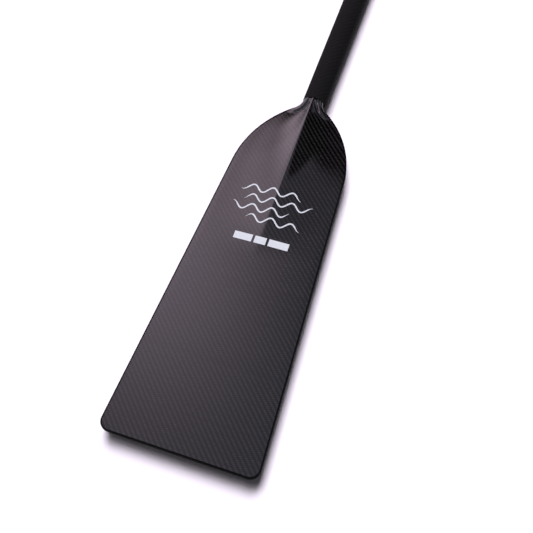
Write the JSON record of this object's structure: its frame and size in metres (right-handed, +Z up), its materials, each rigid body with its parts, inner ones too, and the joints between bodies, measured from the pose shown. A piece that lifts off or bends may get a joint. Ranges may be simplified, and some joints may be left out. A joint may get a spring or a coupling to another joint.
{
  "type": "dragon boat paddle",
  "caption": "Single-bladed carbon paddle with a flat straight-sided blade, a round telescoping shaft, a cam-lever length clamp and a T-grip.",
  "frame": {"origin": "on the surface the paddle lies on, under the shaft's axis, halfway between the blade's tip and the grip's palm face at the rest length", "axes": "+X along the shaft from the blade's tip towards the grip, +Y across the blade towards the clamp's ears, +Z up, out of the blade's face"},
  "size_m": [1.2, 0.1786, 0.0416],
  "materials": {
    "gloss_carbon": "gloss",
    "matt_carbon": "satin",
    "rim_resin": "gloss",
    "foam": "matte",
    "moulded_black": "satin",
    "nylon": "satin",
    "rubber": "matte",
    "steel": "satin",
    "black_alloy": "satin",
    "decal_print": "satin"
  },
  "bodies": {
    "blade_and_shaft": {"blade_face_skin": "gloss_carbon", "blade_back_skin": "gloss_carbon", "blade_core_left": "foam", "blade_core_right": "foam", "blade_spine_core": "foam", "blade_edge_rim": "rim_resin", "neck_spigot": "matt_carbon", "shaft_tube": "matt_carbon", "shaft_float_plug": "foam", "guide_bush": "nylon", "clamp_collar": "moulded_black", "clamp_bolt": "steel", "barrel_nut": "steel", "cam_pad": "nylon", "nut_washer": "steel", "wiper_ring": "rubber"},
    "handle": {"extension_tube": "matt_carbon", "extension_end_plug": "nylon", "end_plug_seal_ring": "rubber", "handle_float_plug": "foam", "grip_spigot": "nylon", "grip_core": "foam", "grip_upper_shell": "moulded_black", "grip_lower_shell": "moulded_black"},
    "lever": {"clamp_lever": "black_alloy"},
    "nut": {"adjusting_nut": "black_alloy"}
  },
  "joints": [
    {"name": "handle_slide", "type": "slide", "parent": "blade_and_shaft", "child": "handle", "axis": [1, 0, 0], "range_m": [-0.05, 0.08]},
    {"name": "lever_open", "type": "hinge", "parent": "blade_and_shaft", "child": "lever", "pos_m": [0.4504, 0.022, 0.0357], "axis": [-1, 0, 0], "range_deg": [0, 135]},
    {"name": "nut_turn", "type": "hinge", "parent": "blade_and_shaft", "child": "nut", "pos_m": [0.4504, 0.022, 0.0042], "axis": [0, 0, 1], "range_deg": [-180, 180]}
  ]
}
